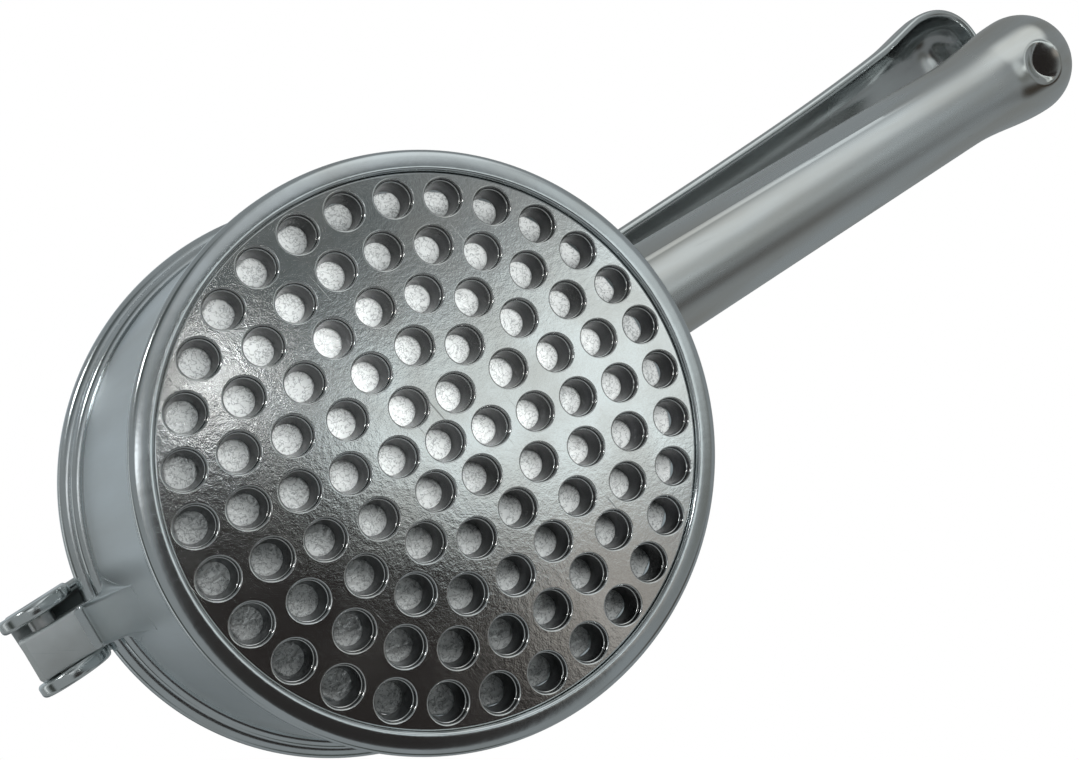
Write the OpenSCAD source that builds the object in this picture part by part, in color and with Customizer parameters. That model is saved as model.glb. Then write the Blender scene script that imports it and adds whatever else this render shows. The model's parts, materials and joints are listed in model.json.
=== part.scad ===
// Passatelli press: a cast cup with a perforated disc, a hinged lever and a plunger that it drives down.
// +Z is up along the cup's axis, the bottom rim stands on Z = 0 and the fixed handle points along +X.

/* [Cup] */
// Height of the cup from the bottom rim to the mouth
cup_h = 60.5; // [58:0.5:66]
// Outer radius of the wall just above the bottom rim
wall_low_r = 43.4; // [38:0.2:48]
// How far the bottom rim stands out from the wall
rim_out = 0.6; // [0.3:0.1:1.2]
// How much the wall widens from the bottom rim to the mouth bead
wall_flare = 3; // [2:0.2:5]
// Thickness of the cup's wall
cup_wall = 1.5; // [1.4:0.1:1.6]
// How far the mouth lip stands out from the wall
lip_out = 3.8; // [3.2:0.1:4.4]
// Height of the mouth lip
lip_h = 3.4; // [2.6:0.2:4.4]
// Height of the smaller bead under the lip
bead_h = 2.6; // [2:0.2:3.4]
// Radius of the rounded outer edge of the bottom rim
rim_round = 1.4; // [0.8:0.1:1.6]

/* [Perforated disc] */
// Thickness of the cup's wall around the disc
seat_wall = 2; // [1.6:0.1:2.4]
// Depth of the perforated face inside the bottom rim
face_recess = 1; // [0.6:0.1:1.4]
// Thickness of the disc at the holes
disc_t = 5; // [4.4:0.2:6]
// Thickness of the ledge in the cup that carries the disc
ledge_t = 2.6; // [2:0.1:3]
// Width of the disc's flange on the ledge
flange_w = 0.8; // [0.6:0.1:1.2]
// Width of the solid edge outside the outermost holes
edge_web = 0.8; // [0.6:0.1:2]
// Number of hole rings around the centre hole
hole_rings = 5; // [3:1:5]
// Hole diameter on the outside
hole_front_d = 5.9; // [5:0.1:6.2]
// Hole diameter on the inside
hole_back_d = 4.8; // [4:0.1:4.9]
// Width of the rounded lip around each hole on the outside
hole_lip = 0.22; // [0.1:0.02:0.3]
// Turn of the hole pattern against the handle
hole_turn = 12.3; // [0:0.1:60]

/* [Fixed handle] */
// Radius of the half-round handle at the cup
grip_near_r = 10.1; // [9.5:0.2:10.7]
// Radius of the half-round handle before its domed end
grip_r = 9.7; // [9:0.1:10]
// Radius of the domed end
knob_r = 11.8; // [10.8:0.2:13]
// Distance of the domed end from the cup's axis
grip_reach = 189.5; // [170:0.5:210]
// Height of the handle's axis at the cup
grip_z = 43; // [41:0.5:45]
// Upward slope of the handle in degrees
grip_slope = 3; // [0:0.5:4]
// Sideways turn of the handle as it was cast, in degrees
grip_turn = 0.6; // [0:0.1:1]
// Height of the handle's side walls above its axis
grip_side = 2.5; // [1:0.5:4]
// Wall thickness of the handle
grip_wall = 2.4; // [1.8:0.2:3]

/* [Hinge] */
// Distance of the hinge pin from the mouth lip
hinge_out = 6.4; // [6.3:0.1:9]
// Height of the hinge pin above the bottom rim
hinge_z = 59.5; // [58.5:0.5:61]
// Diameter of the hinge pin
hinge_pin_d = 4.2; // [3.6:0.2:5]
// Width of the cup's hinge tongue
tongue_w = 6.2; // [5.6:0.1:6.6]
// Radius of the tongue's rounded end about the pin
tongue_r = 4.9; // [4.6:0.1:5.2]
// Sideways room on each side of the tongue in the lever
tongue_play = 1.9; // [1.8:0.1:2.4]
// Sideways lean of the lever in its loose hinge, in degrees
lever_lean = 2.4; // [0:0.1:2.4]
// How far the lever has slid sideways on its loose hinge pin
lever_slide = 1.2; // [0:0.1:1.2]

/* [Lever] */
// Distance of the lever's spoon end from the cup's axis
lever_reach = 193; // [170:1:205]
// Wall thickness of the lever
lever_wall = 1.9; // [1.6:0.1:2.4]
// Thickness of the lever's crown
crown_t = 2.8; // [2.2:0.2:3.6]
// Half width of the lever over the cup
arm_half_w = 6.9; // [6.6:0.1:8]
// Half width of the lever at the middle of its grip
lever_grip_half_w = 8.4; // [8:0.2:11]
// Half width of the lever's spoon end
spoon_half_w = 12.8; // [11.6:0.2:15]
// Gap between the mouth of the cup and the lever above it
mouth_gap = 2.5; // [2:0.1:4]
// Height of the lever's channel over the cup
arm_depth = 14; // [12:0.5:17]
// Height of the lever's channel at the spoon end
spoon_depth = 12; // [10:0.5:14]
// How far the spoon end lies above the lever's edge at the cup
spoon_rise = 9; // [4:0.5:12]

/* [Plunger] */
// Gap between the plunger and the cup around the disc
plunger_play = 2.4; // [2.4:0.1:4]
// Thickness of the plunger's plate
plate_t = 5; // [4:0.5:6]
// Gap between the plunger and the perforated disc when the press is closed
closed_gap = 0.4; // [0.3:0.1:1]
// Depth of the plunger's pin below the hinge pin
pin_drop = 20.7; // [20.6:0.1:20.9]
// Diameter of the plunger's pin
plunger_pin_d = 5; // [4:0.2:6]
// Width of the lever's lug between the plunger's ears
lug_w = 8; // [6:0.5:8.5]
// Sideways room on each side of the lug
lug_play = 4.1; // [4:0.1:4.6]
// Thickness of each of the plunger's ears
ear_t = 4; // [3:0.5:5]
// Radius of the lug and of the ears about the plunger's pin
eye_r = 5.4; // [4.5:0.1:6]

/* [Hidden] */
$fn = 96;

// Fits
pin_clearance = 0.08;
disc_clearance = 0.1;
cut = 1;
overlap = 0.01;
turned_fn = 128;
hole_fn = 32;

// Cup
rim_r = wall_low_r + rim_out;
wall_high_r = wall_low_r + wall_flare;
seat_r = wall_low_r - seat_wall;
ledge_r = seat_r - flange_w;
face_r = ledge_r - disc_clearance;
hole_pitch = (face_r - edge_web - hole_front_d / 2) / hole_rings;
disc_top = face_recess + disc_t;
bore_low_r = max(wall_low_r - cup_wall, seat_r);
bore_high_r = wall_high_r - cup_wall;
mouth_round = 0.6;
lip_r = wall_high_r + lip_out;
bead_r = wall_high_r + lip_out / 2;
bead_z = cup_h - lip_h - bead_h;
bead_foot = 0.8;
rim_edge = 0.4;
foot_h = 3;
hole_lip_h = 0.5;

// Fixed handle, along its own axis
grip_sink = 0.9;
grip_start = bore_high_r - grip_sink;
grip_len = (grip_reach - grip_start) / cos(grip_slope);
knob_len = 36;
knob_neck = grip_len - knob_len;
knob_swell = grip_len - knob_r;
grip_cavity_start = 7.3;

// Hinge
hinge_reach = lip_r + hinge_out;
ear_in = tongue_w / 2 + tongue_play;
ear_out = ear_in + lever_wall;
hinge_ear_r = 6;
crown_gap = 0.5;
end_inset = 1;
end_x = hinge_reach + tongue_r - end_inset;
tongue_foot_z = 28;
tongue_foot_out = 1.6;
tongue_bend = 4.5;

// Plunger
plunger_r = seat_r - plunger_play;
plunger_pin_z = hinge_z - pin_drop;
lug_x = hinge_reach * (cos(lever_lean) - 1);
plate_z = disc_top + closed_gap;
ear_y = lug_w / 2 + lug_play;
ear_foot_half = 9;
plate_top = plate_z + plate_t;
rib_h = 6;
rib_t = 3.5;
rib_end_h = 1;
rib_end_r = plunger_r - 6;
plate_edge = 0.4;
hub_r = 17;

// Lever, in the frame where it lies straight along X
lever_edge_z = cup_h + mouth_gap;
hinge_edge_z = hinge_z - 1.5;
hinge_top_z = hinge_z + tongue_r + crown_gap + crown_t;
lug_half = 13;
lug_top_z = lever_edge_z + arm_depth - crown_t;

// Height above the lever's edge at the cup, as a share of the rise to the spoon end
function risen(share) = lever_edge_z + share * spoon_rise;

// Stations of the lever: place, half width, height of its lower edge, height of its crown
lever_keys = [
    [-end_x - 1, ear_out, hinge_edge_z, hinge_top_z],
    [-hinge_reach, ear_out, hinge_edge_z, hinge_top_z + 0.6],
    [-lip_r - 3.6, ear_out, hinge_edge_z, hinge_top_z + 2.2],
    [-lip_r - 0.6, ear_out, lever_edge_z, hinge_top_z + 3],
    [-lip_r + 16, arm_half_w, lever_edge_z, lever_edge_z + arm_depth - 2],
    [0, arm_half_w, lever_edge_z, lever_edge_z + arm_depth],
    [lip_r + 2, arm_half_w + 0.4, risen(0.15), risen(0.1) + arm_depth],
    [0.63 * lever_reach, lever_grip_half_w, risen(0.45), risen(0.4) + arm_depth],
    [0.84 * lever_reach, lever_grip_half_w + 2, risen(0.8), risen(0.9) + spoon_depth],
    [0.93 * lever_reach, spoon_half_w, risen(1), risen(1.1) + spoon_depth],
    [lever_reach + 1, spoon_half_w, risen(1.1), risen(1.2) + spoon_depth]
];

function arc_points(cx, cy, r, a0, a1, n = 10) =
    [for (i = [0:n]) let (a = a0 + (a1 - a0) * i / n) [cx + r * cos(a), cy + r * sin(a)]];

// Smooth value between stations: the cubic through the two nearest ones, with their neighbours' slopes
function seg_of(keys, x, i = 0) =
    i >= len(keys) - 2 || x < keys[i + 1][0] ? i : seg_of(keys, x, i + 1);
function key_slope(keys, i, c) =
    let (a = max(i - 1, 0), b = min(i + 1, len(keys) - 1))
    (keys[b][c] - keys[a][c]) / (keys[b][0] - keys[a][0]);
function smooth_at(keys, x, c) =
    let (
        i = seg_of(keys, x),
        h = keys[i + 1][0] - keys[i][0],
        t = (x - keys[i][0]) / h,
        m0 = key_slope(keys, i, c) * h,
        m1 = key_slope(keys, i + 1, c) * h
    )
    (2 * t ^ 3 - 3 * t ^ 2 + 1) * keys[i][c] + (t ^ 3 - 2 * t ^ 2 + t) * m0
    + (3 * t ^ 2 - 2 * t ^ 3) * keys[i + 1][c] + (t ^ 3 - t ^ 2) * m1;

// Share of full width at a distance d from an end that rounds off over a length a
end_floor = 0.05;
function end_share(d, a, n = 2.3) =
    d >= a ? 1 : max(end_floor, (1 - ((a - d) / a) ^ n) ^ (1 / n));

// One grid of the lever's channel: outer skin with inset 0, inner skin with the wall's inset
lever_rows = 56;
lever_cols = 14;
row_crowding = 0.75;
section_power = 0.62;
hinge_round = 4;
hinge_round_h = 6;
spoon_round = 15;
spoon_round_h = 11;
function sgn_pow(v, p) = sign(v) * abs(v) ^ p;
function row_x(x0, x1, i) =
    let (u = i / lever_rows)
    x0 + (x1 - x0) * (u + row_crowding * (3 * u ^ 2 - 2 * u ^ 3 - u));
function lever_skin(inset, top) =
    let (x0 = -end_x + inset, x1 = lever_reach - inset)
    [for (i = [0:lever_rows])
        let (
            x = row_x(x0, x1, i),
            hinge_w = end_share(x - x0, hinge_round - inset / 2),
            spoon_w = end_share(x1 - x, spoon_round - inset),
            share_h = min(end_share(x - x0, hinge_round_h), end_share(x1 - x, spoon_round_h)),
            w = (smooth_at(lever_keys, x, 1) - inset) * min(hinge_w, spoon_w),
            z0 = smooth_at(lever_keys, x, 2),
            h = (smooth_at(lever_keys, x, 3) - top - z0) * share_h
        )
        for (j = [0:lever_cols])
            let (a = -90 + 180 * j / lever_cols)
            [x, w * sgn_pow(sin(a), section_power), z0 + h * sgn_pow(cos(a), section_power)]
    ];

function grid_id(i, j, base) = base + i * (lever_cols + 1) + j;
function grid_faces(base, flip) =
    [for (i = [0:lever_rows - 1], j = [0:lever_cols - 1])
        let (
            a = grid_id(i, j, base),
            b = grid_id(i + 1, j, base),
            c = grid_id(i + 1, j + 1, base),
            d = grid_id(i, j + 1, base)
        )
        each flip ? [[a, b, c], [a, c, d]] : [[a, c, b], [a, d, c]]
    ];
function grid_border(base) = concat(
    [for (i = [0:lever_rows - 1]) grid_id(i, 0, base)],
    [for (j = [0:lever_cols - 1]) grid_id(lever_rows, j, base)],
    [for (i = [lever_rows:-1:1]) grid_id(i, lever_cols, base)],
    [for (j = [lever_cols:-1:1]) grid_id(0, j, base)]
);
function strip_faces(outer, inner) =
    [for (k = [0:len(outer) - 1])
        let (n = (k + 1) % len(outer))
        each [[outer[k], inner[n], inner[k]], [outer[k], outer[n], inner[n]]]
    ];

module lever_channel() {
    inner_base = (lever_rows + 1) * (lever_cols + 1);
    polyhedron(
        points = concat(lever_skin(0, 0), lever_skin(lever_wall, crown_t)),
        faces = concat(
            grid_faces(0, false),
            grid_faces(inner_base, true),
            strip_faces(grid_border(0), grid_border(inner_base))
        )
    );
}

// A flat plate in the XZ plane, centred on y = y0
module plate_xz(points, width, y0 = 0) {
    translate([0, y0 + width / 2, 0])
        rotate([90, 0, 0])
            linear_extrude(width)
                polygon(points);
}

module rod_y(x, z, d, width, y0 = 0) {
    translate([x, y0 + width / 2, z])
        rotate([90, 0, 0])
            cylinder(h = width, d = d);
}

// The lever and its pin lean sideways about the hinge
module leaned() {
    translate([-hinge_reach, 0, 0])
        rotate(-lever_lean)
            translate([hinge_reach, -lever_slide, 0])
                children();
}

module cup_outside() {
    rotate_extrude($fn = turned_fn)
        polygon(concat(
            [[0, 0]],
            arc_points(rim_r - rim_round, rim_round, rim_round, -90, 0, 6),
            [[wall_low_r, foot_h], [wall_high_r, bead_z - bead_foot]],
            arc_points(bead_r - bead_h / 2, bead_z + bead_h / 2, bead_h / 2, -70, 50, 8),
            arc_points(lip_r - lip_h / 2, cup_h - lip_h / 2, lip_h / 2, -80, 90, 10),
            [[0, cup_h]]
        ));
}

module cup_inside() {
    rotate_extrude($fn = turned_fn)
        polygon([
            [0, -cut], [ledge_r + rim_edge, -cut], [ledge_r + rim_edge, 0], [ledge_r, rim_edge],
            [ledge_r, ledge_t], [seat_r, ledge_t], [seat_r, disc_top], [bore_low_r, disc_top],
            [bore_high_r, cup_h - mouth_round], [bore_high_r + mouth_round, cup_h],
            [bore_high_r + mouth_round, cup_h + cut], [0, cup_h + cut]
        ]);
}

module hinge_tongue() {
    plate_xz(concat(
        [[-wall_low_r + cup_wall, tongue_foot_z], [-wall_low_r - tongue_foot_out, tongue_foot_z]],
        [[-hinge_reach + tongue_bend, hinge_z - tongue_r]],
        arc_points(-hinge_reach, hinge_z, tongue_r, -90, -270, 18),
        [[-lip_r + lip_h / 2, hinge_z + tongue_r], [-bore_high_r, cup_h - lip_h / 2]]
    ), tongue_w);
}

module grip_profile(inset, start, reach) {
    swell_steps = 8;
    polygon(concat(
        [[0, start], [grip_near_r - inset, start], [grip_r - inset, knob_neck]],
        [for (i = [1:swell_steps])
            let (
                t = i / swell_steps,
                r = grip_r + (knob_r - grip_r) * (1 - cos(180 * t)) / 2
            )
            [r - inset, knob_neck + (knob_swell - knob_neck) * t]],
        arc_points(0, knob_swell, reach - knob_swell, 0, 90, 12)
    ));
}

// Half-round handle: turned about its axis, hollow, and cut open along the top
module fixed_grip() {
    translate([grip_start, 0, grip_z])
        rotate([0, 90 - grip_slope, -grip_turn])
            intersection() {
                difference() {
                    rotate_extrude() grip_profile(0, 0, grip_len);
                    rotate_extrude() grip_profile(grip_wall, grip_cavity_start, grip_len - grip_wall);
                    translate([-knob_r - grip_side, -grip_r + grip_wall, grip_cavity_start])
                        cube([knob_r + cut / 2, 2 * (grip_r - grip_wall), knob_swell - grip_cavity_start]);
                }
                translate([-grip_side, -knob_r - cut, -cut])
                    cube([knob_r + grip_side + cut, 2 * (knob_r + cut), grip_len + 2 * cut]);
            }
}

module cup() {
    color("lightsteelblue")
        difference() {
            union() {
                cup_outside();
                hinge_tongue();
                fixed_grip();
            }
            cup_inside();
            leaned() rod_y(-hinge_reach, hinge_z, hinge_pin_d + 2 * pin_clearance, 2 * tongue_w);
        }
}

module disc_hole() {
    lip_d = hole_front_d + 2 * hole_lip;
    translate([0, 0, face_recess - cut])
        cylinder(h = cut + overlap, d = lip_d, $fn = hole_fn);
    translate([0, 0, face_recess])
        cylinder(h = hole_lip_h, d1 = lip_d, d2 = hole_front_d, $fn = hole_fn);
    translate([0, 0, face_recess + hole_lip_h - overlap])
        cylinder(h = disc_t - hole_lip_h + 2 * overlap, d1 = hole_front_d, d2 = hole_back_d, $fn = hole_fn);
}

module perforated_disc() {
    color("silver")
        difference() {
            rotate_extrude($fn = turned_fn)
                polygon([
                    [0, face_recess], [face_r, face_recess], [face_r, ledge_t],
                    [seat_r - disc_clearance, ledge_t], [seat_r - disc_clearance, disc_top], [0, disc_top]
                ]);
            disc_hole();
            for (ring = [1:hole_rings], i = [0:6 * ring - 1])
                rotate(hole_turn + i * 60 / ring)
                    translate([ring * hole_pitch, 0, 0])
                        disc_hole();
        }
}

module lever_lug() {
    plate_xz(concat(
        arc_points(lug_x, plunger_pin_z, eye_r, 180, 360, 14),
        [[lug_half, lug_top_z], [-lug_half, lug_top_z - 1]]
    ), lug_w);
}

// The lever's hinge end is open, so that the tongue can pass out between the ears
module hinge_slot() {
    slot_len = end_x - lip_r - end_inset + cut;
    slot_h = hinge_ear_r + cut + tongue_r + crown_gap;
    translate([-end_x - cut, -ear_in, hinge_z - hinge_ear_r - cut])
        cube([slot_len, 2 * ear_in, slot_h]);
}

module hinge_ear(side) {
    y = side * (ear_in + lever_wall / 2);
    rod_y(-hinge_reach, hinge_z, 2 * hinge_ear_r, lever_wall, y);
}

module lever() {
    color("gainsboro")
        leaned()
            difference() {
                union() {
                    lever_channel();
                    lever_lug();
                    for (side = [-1, 1])
                        hinge_ear(side);
                }
                hinge_slot();
                rod_y(-hinge_reach, hinge_z, hinge_pin_d, 4 * ear_out);
                rod_y(lug_x, plunger_pin_z, plunger_pin_d + 2 * pin_clearance, 2 * lug_w);
            }
}

module hinge_pin() {
    color("dimgray")
        leaned()
            rod_y(-hinge_reach, hinge_z, hinge_pin_d, 2 * ear_out);
}

module plunger_ear(side) {
    plate_xz(concat(
        [[-ear_foot_half, plate_top - cut / 2], [ear_foot_half, plate_top - cut / 2]],
        arc_points(0, plunger_pin_z, eye_r, 0, 180, 14)
    ), ear_t, side * (ear_y + ear_t / 2));
}

module plunger_ribs() {
    for (a = [0:90:270])
        rotate(a)
            plate_xz([
                [0, plate_top - cut / 2], [rib_end_r, plate_top - cut / 2],
                [rib_end_r, plate_top + rib_end_h], [hub_r, plate_top + rib_h], [0, plate_top + rib_h]
            ], rib_t);
}

module plunger() {
    color("darkgray")
        rotate(-lever_lean)
            difference() {
                union() {
                    rotate_extrude($fn = turned_fn)
                        polygon([
                            [0, plate_z], [plunger_r - plate_edge, plate_z],
                            [plunger_r, plate_z + plate_edge], [plunger_r, plate_top - plate_edge],
                            [plunger_r - plate_edge, plate_top], [0, plate_top]
                        ]);
                    plunger_ribs();
                    for (side = [-1, 1])
                        plunger_ear(side);
                }
                rod_y(0, plunger_pin_z, plunger_pin_d, 4 * ear_y);
            }
}

module plunger_pin() {
    color("dimgray")
        rotate(-lever_lean)
            rod_y(0, plunger_pin_z, plunger_pin_d, 2 * (ear_y + ear_t));
}

cup();
perforated_disc();
lever();
hinge_pin();
plunger();
plunger_pin();
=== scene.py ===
import json

import bmesh
import bpy
import numpy as np
from mathutils import Matrix, Vector, geometry


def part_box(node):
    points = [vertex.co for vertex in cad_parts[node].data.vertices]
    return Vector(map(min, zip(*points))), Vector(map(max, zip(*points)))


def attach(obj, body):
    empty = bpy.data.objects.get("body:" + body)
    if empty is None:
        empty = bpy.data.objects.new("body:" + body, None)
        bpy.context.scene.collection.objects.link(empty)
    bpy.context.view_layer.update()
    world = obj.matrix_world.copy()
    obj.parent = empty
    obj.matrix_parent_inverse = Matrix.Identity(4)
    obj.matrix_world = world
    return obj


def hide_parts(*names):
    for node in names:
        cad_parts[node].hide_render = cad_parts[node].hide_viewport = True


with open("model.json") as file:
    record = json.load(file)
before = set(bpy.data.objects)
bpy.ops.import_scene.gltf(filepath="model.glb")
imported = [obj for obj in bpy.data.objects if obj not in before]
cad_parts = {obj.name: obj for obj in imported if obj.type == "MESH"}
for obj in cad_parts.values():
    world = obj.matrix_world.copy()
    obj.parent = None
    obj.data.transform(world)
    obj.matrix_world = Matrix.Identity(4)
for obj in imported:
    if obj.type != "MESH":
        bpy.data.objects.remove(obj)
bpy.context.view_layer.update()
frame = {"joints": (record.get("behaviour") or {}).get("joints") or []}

# Cup: one aluminium die casting with a bright plated skin, that holds everything else.
# The wall flares a little from the rounded foot rim to the double bead at the mouth.
# The half-round handle and the hinge tongue are cast on, so they belong to the same piece.
MM = 0.001
_, cup_high = (np.array(corner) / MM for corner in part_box("cup"))
disc_low, disc_high = (np.array(corner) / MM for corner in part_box("perforated_disc"))
lever_joint, plunger_joint = frame["joints"]
hinge_x, _, hinge_z = np.array(lever_joint["pos_m"]) / MM
mouth_z = 60.5
lip_r = cup_high[1]
lip_round = 1.7
mouth_round = 0.8
bead_r = 1.3
bead_proud = 0.6
bead_drop = 4.7
wall_foot_z = 3.0
wall_top_z = 53.7
wall_low_r = 43.4
wall_high_r = 46.4
rim_proud = 0.6
rim_r = wall_low_r + rim_proud
rim_round = 1.2
rim_edge = 0.4
rim_lean_in = 1.0
rim_lean_out = 8.0
cove_top_z = 4.6
cove_bottom_z = 2.0
ledge_width = 0.7
ledge_r = disc_high[0] - ledge_width
ledge_z = 2.6
disc_play = 0.1
seat_r = disc_high[0] + disc_play
bore_r = 44.9
bore_low_r = 41.9
cup_sides = 256


def arc(centre, radius, start, end, steps):
    """Points of an arc: the centre plus the radius times cosine and sine of evenly spread degrees."""
    turn = np.radians(np.linspace(start, end, steps))
    return np.asarray(centre) + radius * np.stack([np.cos(turn), np.sin(turn)], -1)


def turned(profile, segments):
    """Surface of revolution: each (r, z) of the profile stands at every angle as (r cos, r sin, z)."""
    turn = np.linspace(0, 2 * np.pi, segments, endpoint=False)[:, None]
    r, z = np.transpose(profile)
    return np.stack([r * np.cos(turn), r * np.sin(turn), z + 0 * turn], -1)


def grid_faces(rows, columns, ring, loop):
    """Quads of a grid; ring joins its last row to the first, loop its last column to the first."""
    i = np.arange(rows if ring else rows - 1)[:, None]
    j = np.arange(columns if loop else columns - 1)
    next_i = (i + 1) % rows
    next_j = (j + 1) % columns
    corners = [i * columns + j, next_i * columns + j, next_i * columns + next_j, i * columns + next_j]
    return np.stack(np.broadcast_arrays(*corners), -1).reshape(-1, 4)


def cast_piece(name, shells, materials, sharp=32):
    """One object from shells of (points in mm, faces, material number).

    Points that coincide are merged, so seams and poles close, and each shell is turned outwards.
    Edges that turn by more than the sharp angle, in degrees, stay crisp."""
    weld = 0.002 * MM
    speck = 0.0005 * MM
    mesh = bpy.data.meshes.new(name)
    counts = np.cumsum([0] + [points.size // 3 for points, _, _ in shells])
    points = np.concatenate([points.reshape(-1, 3) for points, _, _ in shells]) * MM
    faces = [(face + start).tolist() for (_, face, _), start in zip(shells, counts)]
    mesh.from_pydata(points, [], sum(faces, []))
    numbers = np.repeat([number for _, _, number in shells], [len(face) for face in faces])
    mesh.polygons.foreach_set("material_index", numbers)
    shell = bmesh.new()
    shell.from_mesh(mesh)
    bmesh.ops.remove_doubles(shell, verts=shell.verts, dist=weld)
    bmesh.ops.dissolve_degenerate(shell, edges=shell.edges, dist=speck)
    bmesh.ops.recalc_face_normals(shell, faces=shell.faces)
    shell.to_mesh(mesh)
    shell.free()
    mesh.polygons.foreach_set("use_smooth", np.ones(len(mesh.polygons), bool))
    mesh.set_sharp_from_angle(angle=np.radians(sharp))
    for material in materials:
        mesh.materials.append(material)
    piece = bpy.data.objects.new(name, mesh)
    bpy.context.scene.collection.objects.link(piece)
    return piece


def add(tree, kind, inputs=None, **settings):
    """A shader node of that kind: its settings, and its inputs as values or as sockets to join."""
    made = tree.nodes.new(kind)
    for key, value in settings.items():
        setattr(made, key, value)
    for key, value in (inputs or {}).items():
        if isinstance(value, bpy.types.NodeSocket):
            tree.links.new(value, made.inputs[key])
        else:
            made.inputs[key].default_value = value
    return made


def node_group(name, inputs, outputs):
    """Empty shader node group; its inputs are (name, kind, value) and its outputs (name, kind)."""
    group = bpy.data.node_groups.new(name, "ShaderNodeTree")
    for label, kind, value in inputs:
        socket = group.interface.new_socket(label, in_out="INPUT", socket_type="NodeSocket" + kind)
        socket.default_value = value
    for label, kind in outputs:
        group.interface.new_socket(label, in_out="OUTPUT", socket_type="NodeSocket" + kind)
    return group, add(group, "NodeGroupInput").outputs, add(group, "NodeGroupOutput").inputs


# The skin of a casting: a fine grain over shallow waves, slow blotches of tarnish, and creases
# that run where the grain crosses its middle level, along which shade is painted into the colour.
blotches_per_metre = 90.0
middle_level = 0.5
crease_shade_width = 0.04
cast_skin, given, made = node_group(
    "cast_skin",
    [("Stretch", "Vector", (1, 1, 1)), ("Grains per metre", "Float", 2500),
     ("Waves per metre", "Float", 700), ("Grain depth", "Float", 4e-6), ("Wave depth", "Float", 1e-5)],
    [("Normal", "Vector"), ("Grain", "Float"), ("Blotch", "Float"), ("Crease shade", "Float")])
place = add(cast_skin, "ShaderNodeTexCoord").outputs["Object"]
drawn = add(cast_skin, "ShaderNodeVectorMath", {0: place, 1: given["Stretch"]}, operation="MULTIPLY")
noises = ((given["Grains per metre"], 3), (given["Waves per metre"], 1), (blotches_per_metre, 4))
grain, waves, blotch = (
    add(cast_skin, "ShaderNodeTexNoise", {"Vector": drawn.outputs[0], "Scale": scale, "Detail": detail})
    for scale, detail in noises)
swell = add(cast_skin, "ShaderNodeBump", {"Height": waves.outputs[0], "Distance": given["Wave depth"]})
rough = add(cast_skin, "ShaderNodeBump", {
    "Height": grain.outputs[0], "Distance": given["Grain depth"], "Normal": swell.outputs[0]})
# The creases are a mask of thin lines at the grain's middle level; they carry painted shade, a darker colour
# that stands for the wrinkles' shading.
level = add(cast_skin, "ShaderNodeMath", {0: grain.outputs[0], 1: middle_level}, operation="SUBTRACT")
fold = add(cast_skin, "ShaderNodeMath", {0: level.outputs[0]}, operation="ABSOLUTE")
crease_shade_lines = add(cast_skin, "ShaderNodeMapRange", {
    "Value": fold.outputs[0], "From Max": crease_shade_width, "To Min": 1.0, "To Max": 0.0})
for label, node in (("Normal", rough), ("Grain", grain), ("Blotch", blotch), ("Crease shade", crease_shade_lines)):
    cast_skin.links.new(node.outputs[0], made[label])

# Handling marks: thin straight lines in one direction, broken off where a slow noise is low.
scratch_stretch = (1, 0.02, 0.3)
scratch_softness = 0.03
breaks_per_metre = 120.0
break_low, break_high = 0.5, 0.6
scratches, given, made = node_group(
    "handling_scratches",
    [("Turn", "Float", 0.5), ("Lines per metre", "Float", 1500), ("Rarity", "Float", 0.7)],
    [("Mask", "Float")])
place = add(scratches, "ShaderNodeTexCoord").outputs["Object"]
turned_place = add(scratches, "ShaderNodeVectorRotate", {"Vector": place, "Angle": given["Turn"]},
                   rotation_type="Z_AXIS").outputs[0]
drawn_out = add(scratches, "ShaderNodeVectorMath", {0: turned_place, 1: scratch_stretch},
                operation="MULTIPLY").outputs[0]
lines = add(scratches, "ShaderNodeTexNoise", {
    "Vector": drawn_out, "Scale": given["Lines per metre"], "Detail": 2})
above = add(scratches, "ShaderNodeMath", {0: given["Rarity"], 1: scratch_softness}, operation="ADD")
thin = add(scratches, "ShaderNodeMapRange", {
    "Value": lines.outputs[0], "From Min": given["Rarity"], "From Max": above.outputs[0]})
patches = add(scratches, "ShaderNodeTexNoise", {"Vector": turned_place, "Scale": breaks_per_metre})
broken = add(scratches, "ShaderNodeMapRange", {
    "Value": patches.outputs[0], "From Min": break_low, "From Max": break_high})
mask = add(scratches, "ShaderNodeMath", {0: thin.outputs[0], 1: broken.outputs[0]}, operation="MULTIPLY")
scratches.links.new(mask.outputs[0], made["Mask"])

stain_low, stain_high = 0.4, 0.7
uneven_low, uneven_high = 0.3, 0.7
scratch_roughness = 0.25


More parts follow.
